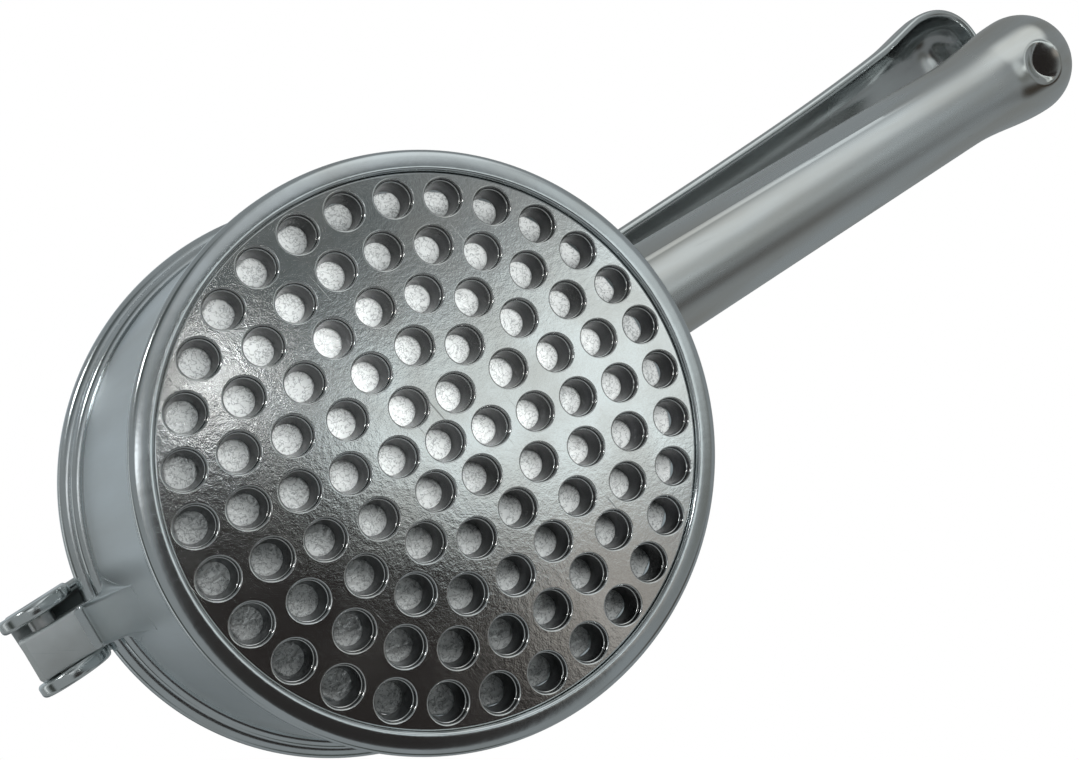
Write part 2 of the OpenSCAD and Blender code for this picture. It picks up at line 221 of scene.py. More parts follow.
def cast_metal(name, colour, tarnish_and_shade, roughness, spread, skin, marks,
               metallic=1.0, crease_shade=0.0, stained=1.0, rubbed=()):
    """Metal finish: the colour runs to tarnish in blotches, by stained, and to painted shade along the
    crease lines, by the crease argument.

    The roughness varies by spread with blotch and grain, and rises in scratches. Over each stretch in
    rubbed, (axis, start, end, before, after) with places in mm, it is multiplied by a share that runs
    smoothly from before to after."""
    material = bpy.data.materials.new(name)
    material.use_nodes = True
    tree = material.node_tree
    shader = tree.nodes["Principled BSDF"]
    shader.inputs["Metallic"].default_value = metallic
    surface = add(tree, "ShaderNodeGroup", node_tree=cast_skin)
    scored = add(tree, "ShaderNodeGroup", node_tree=scratches)
    for node, values in ((surface, skin), (scored, marks)):
        for key, value in values.items():
            node.inputs[key].default_value = value
    stain = add(tree, "ShaderNodeMapRange", {
        "Value": surface.outputs["Blotch"], "From Min": stain_low, "From Max": stain_high,
        "To Max": stained})
    # Painted shade: the colour darkens along the crease lines, by the crease share, as shading of the
    # wrinkles; in the blotches, by stained, it darkens as real tarnish.
    stain_and_crease_shade = add(tree, "ShaderNodeMath", {0: surface.outputs["Crease shade"], 1: crease_shade, 2: stain.outputs[0]},
               operation="MULTIPLY_ADD", use_clamp=True)
    tint = add(tree, "ShaderNodeMix", {0: stain_and_crease_shade.outputs[0], 6: (*colour, 1), 7: (*tarnish_and_shade, 1)},
               data_type="RGBA")
    tree.links.new(tint.outputs[2], shader.inputs["Base Color"])
    uneven = add(tree, "ShaderNodeMapRange", {
        "Value": surface.outputs["Blotch"], "From Min": uneven_low, "From Max": uneven_high,
        "To Min": roughness - spread, "To Max": roughness + spread})
    grainy = add(tree, "ShaderNodeMath", {0: surface.outputs["Grain"], 1: spread, 2: uneven.outputs[0]},
                 operation="MULTIPLY_ADD")
    worn = add(tree, "ShaderNodeMath", {
        0: scored.outputs["Mask"], 1: scratch_roughness, 2: grainy.outputs[0]}, operation="MULTIPLY_ADD")
    for axis, start, end, before, after in rubbed:
        place = add(tree, "ShaderNodeSeparateXYZ", {0: add(tree, "ShaderNodeTexCoord").outputs["Object"]})
        share = add(tree, "ShaderNodeMapRange", {
            "Value": place.outputs[axis], "From Min": start * MM, "From Max": end * MM,
            "To Min": before, "To Max": after}, interpolation_type="SMOOTHSTEP")
        worn = add(tree, "ShaderNodeMath", {0: worn.outputs[0], 1: share.outputs[0]}, operation="MULTIPLY")
    tree.links.new(worn.outputs[0], shader.inputs["Roughness"])
    tree.links.new(surface.outputs["Normal"], shader.inputs["Normal"])
    return material


def wall_r(z):
    """Outer radius of the wall at height z: a straight line from the foot to the mouth bead."""
    return wall_low_r + (wall_high_r - wall_low_r) * (z - wall_foot_z) / (wall_top_z - wall_foot_z)


# The rim's underside is a flat arc, the crown, that leans up to both sides and runs into the edge rounds.
cove_depth = rim_r - wall_r(cove_top_z)
cove_r = ((cove_top_z - cove_bottom_z) ** 2 + cove_depth ** 2) / (2 * cove_depth)
cove_turn = np.degrees(np.arcsin((cove_top_z - cove_bottom_z) / cove_r))
sin_in, sin_out = np.sin(np.radians([rim_lean_in, rim_lean_out]))
cos_in, cos_out = np.cos(np.radians([rim_lean_in, rim_lean_out]))
crown_r = (rim_r - rim_round * (1 - sin_out) - ledge_r - rim_edge * (1 - sin_in)) / (sin_in + sin_out)
crown_middle = (ledge_r + rim_edge + (crown_r - rim_edge) * sin_in, crown_r)
edge_middle = (ledge_r + rim_edge, crown_r - (crown_r - rim_edge) * cos_in)
round_middle = (rim_r - rim_round, crown_r - (crown_r - rim_round) * cos_out)
bowl_profile = np.concatenate([
    [[ledge_r, ledge_z]],
    arc(edge_middle, rim_edge, 180, 270 - rim_lean_in, 5),
    arc(crown_middle, crown_r, 270 - rim_lean_in, 270 + rim_lean_out, 7)[1:-1],
    arc(round_middle, rim_round, 270 + rim_lean_out, 360, 9),
    arc((wall_r(cove_top_z) + cove_r, cove_top_z), cove_r, 180 + cove_turn, 180, 9),
    [[wall_r(z), z] for z in np.linspace(cove_top_z, wall_top_z, 12)[1:]],
    arc((wall_high_r + bead_proud, mouth_z - bead_drop), bead_r, -95, 75, 15),
    arc((lip_r - lip_round, mouth_z - lip_round), lip_round, -100, 90, 17),
    arc((bore_r + mouth_round, mouth_z - mouth_round), mouth_round, 90, 180, 7),
    [[bore_low_r, disc_high[2]], [seat_r, disc_high[2]], [seat_r, ledge_z]],
])
bowl = turned(bowl_profile, cup_sides)
bowl_shell = (bowl, grid_faces(*bowl.shape[:2], True, True), 0)

# Handle: a half-round trough along its own axis, from inside the wall to a domed knob.
grip_start = 44.3
grip_z = 43.0
grip_slope = np.radians(3)
grip_turn = np.radians(-0.6)
grip_near_r = 10.1
grip_r = 9.7
knob_r = 11.8
knob_len = 36.0
belly_len = 13.0
fine_len = 14.0
grip_wall = 2.4
grip_top = 2.5
grip_edge = 0.8
grip_root_len = 7.0
grip_root_fillet = 2.6
cavity_start = 7.3
grip_len = (cup_high[0] - grip_start) / np.cos(grip_slope)
knob_neck = grip_len - knob_len
knob_middle = grip_len - knob_r
belly_start = knob_middle - belly_len
fine_start = knob_middle - fine_len
# The flat ground under the knob: its middle and the way it faces, as directions from the knob's middle,
# its depth, the radius of its slight dome, and the angles off its middle between which it fades out.
flat_middle = np.array([-0.224, 0.108, -0.968])
flat_facing = np.array([-0.354, 0.114, -0.928])
flat_depth = 0.8
flat_r = 36.0
flat_inner = 19.0
flat_outer = 28.0
# The parting line: the point of the section that it lifts, counted from the keel, its height and its length.
parting_column = 17
parting_height = 0.3
parting_len = 100.0
parting_fade = 40.0


def grip_radius(s, swell_from):
    """Radius of the half-round grip at s: a slight taper, then half a cosine wave out to the knob."""
    taper = np.interp(s, [0, knob_neck], [grip_near_r, grip_r])
    swell = np.clip((s - swell_from) / (knob_middle - swell_from), 0, 1)
    return taper + (knob_r - grip_r) * (1 - np.cos(np.pi * swell)) / 2


def root_flare(s):
    """Quarter-round fillet onto the wall: the circle's sagitta, full at the wall, none a radius away."""
    gap = np.clip((s - (wall_r(grip_z) - grip_start)) / grip_root_fillet, 0, 1)
    return grip_root_fillet * (1 - np.sqrt(1 - (1 - gap) ** 2))


def trough_half(radius, keel, inner_radius, top, edge):
    """Half section of a round-bottomed trough, from the keel outside, over the edge, to the keel inside.

    Outside and inside are arcs about the axis up to the edge's start; the edge is two quarter rounds.
    The outer radius runs from the side's to the keel's with the square of the drop. The third result
    is 0 for the outer points and 1 for the inner ones."""
    sizes = (radius, keel, inner_radius, top)
    radius, keel, inner_radius, top = (size[:, None] for size in sizes)
    rise = np.linspace(0, 1, 40)
    quarter = np.radians(np.linspace(0, 90, 6))
    outer_turn = -np.pi / 2 + (np.arcsin((top - edge) / radius) + np.pi / 2) * rise
    inner_turn = -np.pi / 2 + (np.arcsin((top - edge) / inner_radius) + np.pi / 2) * rise[::-1]
    outer_y = np.sqrt(radius ** 2 - (top - edge) ** 2)
    inner_y = np.sqrt(inner_radius ** 2 - (top - edge) ** 2)
    outer_radius = radius + (keel - radius) * np.minimum(np.sin(outer_turn), 0) ** 2
    y = [outer_radius * np.cos(outer_turn), outer_y - edge + edge * np.cos(quarter),
         inner_y + edge - edge * np.cos(quarter[::-1]), inner_radius * np.cos(inner_turn)]
    z = [outer_radius * np.sin(outer_turn), top - edge + edge * np.sin(quarter),
         top - edge + edge * np.sin(quarter[::-1]), inner_radius * np.sin(inner_turn)]
    inside = np.repeat([0.0, 1.0], len(rise) + len(quarter))
    return np.concatenate(y, 1), np.concatenate(z, 1), inside


def with_ground_flat(points):
    """Draws the knob's skin in, towards its middle, onto a shallow dome that faces its own way.

    The share of that move falls from all to none between two angles off the flat's middle."""
    out = points - [knob_middle, 0, 0]
    distance = np.maximum(np.linalg.norm(out, axis=-1), 1e-6)
    behind = (knob_r - flat_depth) * flat_middle - flat_r * flat_facing
    toward = out @ behind / distance
    dome = toward + np.sqrt(np.maximum(flat_r ** 2 - behind @ behind + toward ** 2, 0))
    off = np.degrees(np.arccos(np.clip(out @ flat_middle / distance, -1, 1)))
    share = np.clip((flat_outer - off) / (flat_outer - flat_inner), 0, 1)
    share = share * share * (3 - 2 * share)
    pull = 1 + share * (np.minimum(dome / distance, 1) - 1)
    return [knob_middle, 0, 0] + out * pull[..., None]


side_rows = np.concatenate([np.linspace(0, grip_root_len, 22),
                            np.linspace(grip_root_len, fine_start, 56)[1:],
                            np.linspace(fine_start, knob_middle, 40)[1:]])
dome_turn = np.radians(np.linspace(90, -90, 49))[1:-1]
stern_share = np.linspace(-1, 1, 13)[1:-1]
along = np.concatenate([side_rows, 0 * dome_turn + knob_middle, side_rows[::-1], 0 * stern_share])
along_inside = cavity_start + along * (knob_middle - cavity_start) / knob_middle
forward = np.concatenate([0 * side_rows, np.cos(dome_turn), 0 * side_rows, 0 * stern_share])
sideways = np.concatenate([0 * side_rows + 1, np.sin(dome_turn), 0 * side_rows - 1, stern_share])
flare = root_flare(along)
half_y, half_z, inside = trough_half(
    grip_radius(along, knob_neck) + flare, grip_radius(along, belly_start) + flare,
    grip_radius(along_inside, knob_neck) - grip_wall, grip_top + flare, grip_edge)
half_z = half_z - inside * flare[:, None]
fade = np.clip((parting_len - along) / parting_fade, 0, 1)
parting = 1 + parting_height / grip_r * (sideways < 0) * fade
half_y[:, parting_column] *= parting
half_z[:, parting_column] *= parting
station = along[:, None] * (1 - inside) + along_inside[:, None] * inside + half_y * forward[:, None]
grip_local = with_ground_flat(np.stack([station, half_y * sideways[:, None], half_z], -1))
tilt = Matrix.Rotation(grip_turn, 3, "Z") @ Matrix.Rotation(-grip_slope, 3, "Y")
grip = grip_local @ np.array(tilt).T + [grip_start, 0, grip_z]
grip_shell = (grip, grid_faces(*grip.shape[:2], True, False), 1)

# Hinge tongue with its eye, and the wedge below it that carries it down the wall.
tongue_half_w = 3.8
tongue_side = -0.3
tongue_r = 4.9
tongue_edge = 0.6
tongue_root = 11.6
tongue_back = 8.1
tongue_corner = 1.3
hinge_pin_r = 2.1
hinge_play = 0.2
eye_bevel = 0.2
wedge_foot_z = 28.0
wedge_fine_z = 52.0
wedge_setback = 5.5
wedge_head_out = -hinge_x - wedge_setback
wedge_power = 2.2
wedge_least = 0.02
wedge_fillet = 1.2
wedge_shoulder = 0.8
wall_fillet = 2.4
fillet_share = 0.6
buried_depth = 1.2
buried_spread = 0.2


def eye_plate(eye, hole_r, eye_r, arc_from, planes, low, high, edge, arc_turn=180):
    """Upright plate round a hole: its outline is the nearest of straight sides (normal x, z, distance).

    Over the arc_turn from arc_from the outline is the round eye. The wall's section, hole to outline and
    back with rounded outer edges, is carried round the hole, which closes it in both directions."""
    turn = np.radians(np.arange(0, 360, 2.0))
    heading = np.stack([np.cos(turn), np.sin(turn)], -1)
    normals, distance = np.array(planes)[:, :2], np.array(planes)[:, 2]
    facing = heading @ normals.T
    reach = np.min(np.where(facing > 1e-6, distance / np.maximum(facing, 1e-6), np.inf), 1)
    is_arc = (np.degrees(turn) - arc_from) % 360 <= arc_turn
    reach = np.where(is_arc, eye_r, reach)[:, None]
    quarter = np.radians(np.linspace(0, 90, 5))
    inset = np.concatenate([edge * (1 - np.sin(quarter)), edge * (1 - np.sin(quarter[::-1]))])
    outer_y = np.concatenate([high - edge * (1 - np.cos(quarter)), low + edge * (1 - np.cos(quarter[::-1]))])
    hole = hole_r + np.array([eye_bevel, 0, 0, eye_bevel])
    hole_y = np.array([low, low + eye_bevel, high - eye_bevel, high])
    radius = np.concatenate([reach - inset, hole + 0 * reach], 1)
    y = np.concatenate([outer_y, hole_y]) + 0 * radius
    return np.stack([eye[0] + radius * heading[:, :1], y, eye[1] + radius * heading[:, 1:]], -1)


back_slope = np.array([0.8, 0.6])
low_corner = np.array([-1, -1]) / np.sqrt(2)
tongue_planes = [(0, 1, tongue_r), (0, -1, tongue_r), (1, 0, tongue_root), (-1, 0, tongue_r),
                 (*back_slope, back_slope @ (tongue_back, tongue_r)),
                 (*low_corner, tongue_r * tongue_corner)]
tongue = eye_plate((hinge_x, hinge_z), hinge_pin_r + hinge_play, tongue_r, 90, tongue_planes,
                   tongue_side - tongue_half_w, tongue_side + tongue_half_w, tongue_edge, 90)
tongue_shell = (tongue, grid_faces(*tongue.shape[:2], True, True), 2)


def wedge_section(z):
    """Level section of the wedge at height z: fillet off the wall, flat side, rounded shoulder and face.

    The face leaves the wall as a power of the height above the foot, and rounds into the tongue's
    underside. The wall side is buried in the wall."""
    underside = hinge_z - tongue_r
    climb = np.clip((z - wedge_foot_z) / (underside - wedge_foot_z), 0, 1)
    face = wall_r(z) + (wedge_head_out - wall_r(underside)) * climb ** wedge_power
    near = np.clip((z - underside + wedge_fillet) / wedge_fillet, 0, 1)
    face = face + wedge_fillet * (1 - np.sqrt(1 - near ** 2))
    wall = np.sqrt(wall_r(z) ** 2 - (tongue_half_w + np.abs(tongue_side)) ** 2)
    height = np.maximum(face - wall, wedge_least)[:, None]
    fillet = np.minimum(wall_fillet, fillet_share * height)
    shoulder = np.minimum(wedge_shoulder, (1 - fillet_share) * height)
    quarter = np.radians(np.linspace(0, 90, 7))
    half_y = np.concatenate([tongue_half_w + fillet * (1 - np.sin(quarter)),
                             tongue_half_w - shoulder * (1 - np.cos(quarter))], 1)
    out = np.concatenate([fillet * (1 - np.cos(quarter)), height - shoulder * (1 - np.sin(quarter))], 1)
    half_y = np.concatenate([half_y[:, :1] + buried_spread, half_y], 1)
    out = np.concatenate([0 * height - buried_depth, out], 1) + wall[:, None]
    both_y = tongue_side + np.concatenate([half_y, -half_y[:, ::-1]], 1)
    return np.stack([-np.concatenate([out, out[:, ::-1]], 1), both_y, z[:, None] + 0 * both_y], -1)


wedge_rows = np.concatenate([np.linspace(wedge_foot_z - 1, wedge_fine_z, 30),
                             np.linspace(wedge_fine_z, hinge_z - tongue_r, 14)[1:]])
wedge = wedge_section(wedge_rows)
wedge_ends = [np.repeat(wedge[k].mean(0)[None, None], wedge.shape[1], 1) for k in (0, -1)]
wedge = np.concatenate([wedge_ends[0], wedge, wedge_ends[1]])
wedge_shell = (wedge, grid_faces(*wedge.shape[:2], False, True), 0)

# Handling has polished the foot, the mouth's beads and the knob.
foot_polish = ("Z", 2.4, 5.0, 0.4, 1.0)
bead_polish = ("Z", 53.4, 54.2, 1.0, 0.5)
knob_polish = ("X", 158, 172, 1.0, 0.4)
wall_metal = cast_metal(
    "satin_wall", colour=(0.74, 0.79, 0.81), tarnish_and_shade=(0.66, 0.69, 0.69), roughness=0.34, spread=0.05,
    skin={"Stretch": (1, 1, 0.06), "Grains per metre": 1800, "Waves per metre": 500,
          "Grain depth": 3e-6, "Wave depth": 1.2e-5},
    marks={"Rarity": 0.7}, rubbed=[foot_polish, bead_polish])
grip_metal = cast_metal(
    "satin_grip", colour=(0.76, 0.80, 0.81), tarnish_and_shade=(0.60, 0.58, 0.53), roughness=0.27, spread=0.04,
    skin={"Stretch": (0.15, 1, 1), "Grains per metre": 2200, "Waves per metre": 300,
          "Grain depth": 2e-6, "Wave depth": 1.5e-5},
    marks={"Turn": 1.5, "Rarity": 0.66}, rubbed=[knob_polish])
# The tongue is painted lighter than the wall of the same casting, as painted light; its higher roughness is
# its matt finish.
tongue_lit_metal = cast_metal(
    "matt_tongue_painted_light", colour=(0.92, 0.95, 0.95), tarnish_and_shade=(0.78, 0.80, 0.79), roughness=0.52, spread=0.05,
    skin={"Grains per metre": 1800, "Waves per metre": 220, "Grain depth": 4e-6, "Wave depth": 8e-5},
    marks={"Turn": 1.0, "Rarity": 0.7})
cup = cast_piece("cup_casting", [bowl_shell, grip_shell, tongue_shell, wedge_shell],
                 [wall_metal, grip_metal, tongue_lit_metal])
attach(cup, "press_body")
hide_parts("cup")

# Perforated disc: a cast disc with a flange that drops onto the ledge in the cup.
# Its holes stand in five rings round a centre hole, with rounded lips outside and a taper to the inside.
# The outer face is polished over the fine pits of the casting.
face_z = disc_low[2]
back_z = disc_high[2]
face_r = ledge_r - disc_play
face_edge_round = 0.2
face_edge_land = 0.1
flange_bevel = 0.2
hole_pitch = 7.35
hole_turn = 12.3
hole_rings = 5
hole_front_r = 2.95
hole_back_r = 2.25
hole_lip = 0.24
hole_lip_land = 0.03
hole_margin = 0.16
hole_back_bevel = 0.12
neck_taper = 0.03
neck_gap = 0.04
hole_step_r = 2.72
step_depth = 1.0
step_z = face_z + step_depth
step_round = 0.14
hole_sides = 48
disc_sides = 240


def ring_places():
    """Hole centres: the middle, then ring n with 6 n holes evenly round a radius of n pitches."""
    ring = np.repeat(np.arange(1, hole_rings + 1), 6 * np.arange(1, hole_rings + 1))
    number = np.arange(len(ring)) - 3 * ring * (ring - 1)
    turn = np.radians(hole_turn + number * 60 / ring)
    places = hole_pitch * ring[:, None] * np.stack([np.cos(turn), np.sin(turn)], -1)
    return np.concatenate([[[0, 0]], places])


def pierced_face(centres, hole_r, edge_r, z):
    """Flat round face with round holes: triangles between the edge's circle and the holes' circles."""
    edge_turn = np.linspace(0, 2 * np.pi, disc_sides, endpoint=False)
    hole_angle = np.linspace(0, 2 * np.pi, hole_sides, endpoint=False)
    edge = edge_r * np.stack([np.cos(edge_turn), np.sin(edge_turn)], -1)
    holes = centres[:, None] + hole_r * np.stack([np.cos(hole_angle), np.sin(hole_angle)], -1)
    flat = np.concatenate([edge, holes.reshape(-1, 2)])
    loops = [np.arange(disc_sides)] + list(disc_sides + np.arange(holes.size // 2).reshape(-1, hole_sides))
    edges = np.concatenate([np.stack([loop, np.roll(loop, -1)], -1) for loop in loops])
    made = geometry.delaunay_2d_cdt([Vector(p) for p in flat], edges.tolist(), [], 1, 1e-6)
    points, faces = np.array([tuple(p) for p in made[0]]), np.array(made[2])
    middle = points[faces].mean(1)
    clear = np.min(np.linalg.norm(middle[:, None] - centres, axis=-1), 1) > hole_r * 0.999
    return np.column_stack([points, np.full(len(points), z)]), faces[clear]


centres = ring_places()
lip_out = hole_front_r + hole_lip
lip_profile = np.concatenate([
    [[lip_out + hole_margin, face_z], [lip_out + hole_lip_land, face_z]],
    arc((lip_out, face_z + hole_lip), hole_lip, 270, 180, 7),
])
step_profile = arc((hole_step_r + step_round, step_z + step_round), step_round, 270, 180, 5)
neck_profile = np.array([lip_profile[-1], [hole_front_r - neck_taper, step_z - neck_gap], step_profile[0]])
back_edge_r = hole_back_r + hole_back_bevel
bore_profile = np.concatenate([
    step_profile[-1:],
    [[(hole_step_r + hole_back_r) / 2, (step_z + back_z) / 2], [hole_back_r, back_z - hole_back_bevel]],
    [[back_edge_r, back_z], [back_edge_r + hole_margin, back_z]],
])


def at_every_hole(profile):
    """The turned profile of one hole, repeated at all the hole centres, with its faces."""
    one_hole = turned(profile, hole_sides)
    shift = np.column_stack([centres, np.zeros(len(centres))])
    holes = (one_hole[None] + shift[:, None, None]).reshape(-1, len(profile), 3)
    faces = grid_faces(*one_hole.shape[:2], True, False)
    starts = one_hole.size // 3 * np.arange(len(centres))
    return holes, (faces[None] + starts[:, None, None]).reshape(-1, 4)


flange_r = disc_high[0]
edge_profile = np.concatenate([
    [[face_r - face_edge_round - face_edge_land, face_z]],
    arc((face_r - face_edge_round, face_z + face_edge_round), face_edge_round, 270, 360, 5),
    [[face_r, ledge_z], [flange_r, ledge_z]],
    [[flange_r, back_z - flange_bevel], [flange_r - flange_bevel, back_z]],
])
disc_edge = turned(edge_profile, disc_sides)
front_points, front_faces = pierced_face(centres, lip_profile[0][0], edge_profile[0][0], face_z)
back_points, back_faces = pierced_face(centres, bore_profile[-1][0], edge_profile[-1][0], back_z)
# The polished face is painted darker along thin crease lines, as painted shade of its wrinkles.
disc_metal = cast_metal(
    "polished_face", colour=(0.82, 0.85, 0.85), tarnish_and_shade=(0.70, 0.70, 0.68), roughness=0.09, spread=0.03,
    skin={"Grains per metre": 4500, "Waves per metre": 1100, "Grain depth": 7e-6, "Wave depth": 9e-6},
    marks={"Turn": 0.2, "Lines per metre": 1600, "Rarity": 0.7}, crease_shade=0.7)
# The bores, and the necks between the lip and the step, are painted near black as painted shade inside the
# holes; their roughness is their own.
bore_shade_metal = cast_metal(
    "bores_painted_shade", colour=(0.035, 0.035, 0.038), tarnish_and_shade=(0.018, 0.018, 0.018), roughness=0.2, spread=0.06,
    skin={"Grains per metre": 2600, "Waves per metre": 900, "Grain depth": 8e-6, "Wave depth": 2e-5},
    marks={"Rarity": 0.8})
disc = cast_piece("pierced_disc", [
    (*at_every_hole(lip_profile), 0), (*at_every_hole(neck_profile), 1), (*at_every_hole(step_profile), 0),
    (*at_every_hole(bore_profile), 1), (disc_edge, grid_faces(*disc_edge.shape[:2], True, False), 0),
    (front_points, front_faces, 0), (back_points, back_faces, 0)], [disc_metal, bore_shade_metal])
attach(disc, "press_body")
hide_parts("perforated_disc")

# Plunger: a rough casting with a flat round plate, four ribs and two ears that hang it on its pin.
# It isn't polished, so the face that shows through the holes is grainy and pale.
plunger_low, plunger_high = (np.array(corner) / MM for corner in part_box("plunger"))
lean = np.arctan2(lever_joint["axis"][0], -lever_joint["axis"][1])
plunger_shift, _, plunger_pin_z = np.array(plunger_joint["pos_m"]) / MM
plunger_pin_r = 2.5
plate_z = plunger_low[2]
plate_r = plunger_high[1]
plate_t = 5.0
plate_top = plate_z + plate_t
plate_edge = 0.4
plate_sides = 192
root_sink = 0.5
ear_inner = 8.1
ear_outer = 12.1
ear_edge = 0.6
ear_foot = 9.0
eye_r = 5.4
rib_half = 1.75
rib_edge = 0.5
rib_end = 32.0
rib_end_height = 1.0
rib_top = plate_top + 6
rib_step = 0.15
hub_r = 17.0


def turned_about_z(points, angle):
    """Points turned about the cup's axis."""
    return points @ np.array(Matrix.Rotation(angle, 3, "Z")).T


def bar_plate(outline, low, high, edge):
    """Upright flat bar: its outline in x and z, carried across from low to high with rounded edges.

    The faces close on the outline's middle, and the rounding shrinks the outline towards it."""
    outline = np.asarray(outline, float)
    middle = outline.mean(0)
    away = outline - middle
    size = np.abs(away).max(0)
    quarter = np.radians(np.linspace(0, 90, 5))
    inset = np.concatenate([edge * (1 - np.sin(quarter)), edge * (1 - np.sin(quarter[::-1]))])
    y = np.concatenate([high - edge * (1 - np.cos(quarter)), low + edge * (1 - np.cos(quarter[::-1]))])
    share = 1 - inset[:, None, None] / size
    loops = middle + away * share
    loops = np.concatenate([0 * loops[:1] + middle, loops, 0 * loops[:1] + middle])
    y = np.concatenate([[high], y, [low]])[:, None] + 0 * loops[..., 0]
    return np.stack([loops[..., 0], y, loops[..., 1]], -1)


plate_profile = np.concatenate([
    [[0, plate_z]],
    arc((plate_r - plate_edge, plate_z + plate_edge), plate_edge, 270, 360, 5),
    arc((plate_r - plate_edge, plate_top - plate_edge), plate_edge, 0, 90, 5),
    [[0, plate_top]],
])
plate = turned(plate_profile, plate_sides)
ear_drop = plunger_pin_z - plate_top + root_sink
ear_side = np.array([ear_drop, ear_foot - eye_r]) / np.hypot(ear_drop, ear_foot - eye_r)
side_reach = ear_side @ (eye_r, 0)
ear_planes = [(*ear_side, side_reach), (-ear_side[0], ear_side[1], side_reach), (0, -1, ear_drop)]
ears = [eye_plate((0, plunger_pin_z), plunger_pin_r, eye_r, 0, ear_planes, low, high, ear_edge)
        for low, high in ((ear_inner, ear_outer), (-ear_outer, -ear_inner))]
rib_root_z = plate_top - root_sink
rib_end_z = plate_top + rib_end_height
rib_outline = [(-rib_end, rib_root_z), (rib_end, rib_root_z), (rib_end, rib_end_z),
               (hub_r, rib_top), (-hub_r, rib_top), (-rib_end, rib_end_z)]
rib = bar_plate(rib_outline, -rib_half, rib_half, rib_edge)
cross_rib = turned_about_z(rib - [0, 0, rib_step], np.pi / 2)
plunger_shells = [(plate, grid_faces(*plate.shape[:2], True, False), 0)]
plunger_shells += [(ear, grid_faces(*ear.shape[:2], True, True), 0) for ear in ears]
plunger_shells += [(bar, grid_faces(*rib.shape[:2], False, True), 0) for bar in (rib, cross_rib)]


def hung(points):
    """Where the plunger hangs: turned with the lever's lean, on its pin."""
    return turned_about_z(points, lean) + [plunger_shift, 0, 0]


# The plunger's colour is painted dark along thin crease lines, as painted shade of its wrinkles, and darkens
# in slow blotches of tarnish.
rough_metal = cast_metal(
    "rough_casting", colour=(0.88, 0.91, 0.90), tarnish_and_shade=(0.36, 0.38, 0.38), roughness=0.3, spread=0.06,
    skin={"Grains per metre": 1500, "Waves per metre": 600, "Grain depth": 1.2e-4, "Wave depth": 8e-5},
    marks={"Rarity": 0.8}, metallic=0.7, crease_shade=0.9, stained=0.45)
plunger = cast_piece("plunger_casting", [
    (hung(points), faces, number) for points, faces, number in plunger_shells], [rough_metal])
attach(plunger, "presser")
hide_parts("plunger")

# Plunger pin: a short drawn steel rod through the plunger's ears and the lever's lug.
# It is pressed into the ears, and its rounded ends stand a little proud of them.
pin_proud = 0.25
pin_round = 0.4
pin_sides = 48
pin_sharp = 40
pin_metal = cast_metal(
    "drawn_steel", colour=(0.56, 0.57, 0.57), tarnish_and_shade=(0.44, 0.43, 0.41), roughness=0.28, spread=0.06,
    skin={"Stretch": (1, 0.05, 1), "Grains per metre": 6000, "Waves per metre": 1500,
          "Grain depth": 2e-6, "Wave depth": 4e-6},
    marks={"Rarity": 0.72})


def cross_pin(x, z, radius, half_length):
    """Rod across the press: a profile with rounded ends, turned about its own axis and laid along Y."""
    profile = np.concatenate([
        [[0, -half_length]],
        arc((radius - pin_round, pin_round - half_length), pin_round, 270, 360, 5),
        arc((radius - pin_round, half_length - pin_round), pin_round, 0, 90, 5),
        [[0, half_length]],
    ])
    rod = turned(profile, pin_sides)
    return np.stack([x + rod[..., 0], -rod[..., 2], z + rod[..., 1]], -1)


plunger_rod = cross_pin(0, plunger_pin_z, plunger_pin_r, ear_outer + pin_proud)
plunger_pin = cast_piece("plunger_rod", [
    (hung(plunger_rod), grid_faces(*plunger_rod.shape[:2], True, False), 0)], [pin_metal], pin_sharp)
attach(plunger_pin, "presser")
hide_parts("plunger_pin")

# Lever: a cast channel, open below, that widens to a spoon-shaped end for the palm.
# Two ears at its other end straddle the hinge tongue, and a lug inside it carries the plunger's pin.
# It hangs loosely on the hinge pin, so it leans and has slid a little to one side.
lever_slide = -1.2
lever_wall = 1.9
crown_t = 2.8
lever_front = -60.5
lever_reach = 193.0
spoon_round = 15.0
spoon_power = 2.3
section_power = 0.62
inside_power = 0.75
inside_draft = 0.1
side_points = 30
edge_points = 11
fork_inner = 5.0
fork_outer = 6.9
fork_end = -45.0
fork_proud_inside = 0.12
fork_proud_outside = 0.35
fork_edge = 0.7
fork_r = 6.0
fork_back = 6.2
fork_front = 4.6
fork_top = 6.5
lug_half_w = 4.0
lug_edge = 0.6
lug_root = 13.0
lug_root_z = 74.2
lug_play = 0.08
# Stations along the lever: the place, half the width, and the heights of the open edge and of the back.
station_x, station_half, station_edge, station_back = np.transpose([
    [-61.5, 6.9, 58.0, 67.7], [-56.6, 6.9, 58.0, 68.3], [-53.8, 6.9, 58.0, 69.9], [-50.8, 6.9, 63.0, 70.7],
    [-34.2, 6.9, 63.0, 75.0], [0.0, 6.9, 63.0, 77.0], [52.2, 7.3, 64.35, 77.9], [121.6, 8.4, 67.05, 80.6],
    [162.1, 10.4, 70.2, 83.1], [179.5, 12.8, 72.0, 84.9], [194.0, 12.8, 72.9, 85.8]])


def through_stations(x, value):
    """Smooth value at x: the cubic between the two nearest stations, with their neighbours' slopes."""
    number = np.arange(len(station_x))
    ahead = np.minimum(number + 1, number[-1])
    behind = np.maximum(number - 1, 0)
    slope = (value[ahead] - value[behind]) / (station_x[ahead] - station_x[behind])
    k = np.clip(np.searchsorted(station_x, x, "right") - 1, 0, number[-1] - 1)
    h = station_x[k + 1] - station_x[k]
    t = (x - station_x[k]) / h
    return ((2 * t ** 3 - 3 * t ** 2 + 1) * value[k] + (t ** 3 - 2 * t ** 2 + t) * h * slope[k]
            + (3 * t ** 2 - 2 * t ** 3) * value[k + 1] + (t ** 3 - t ** 2) * h * slope[k + 1])


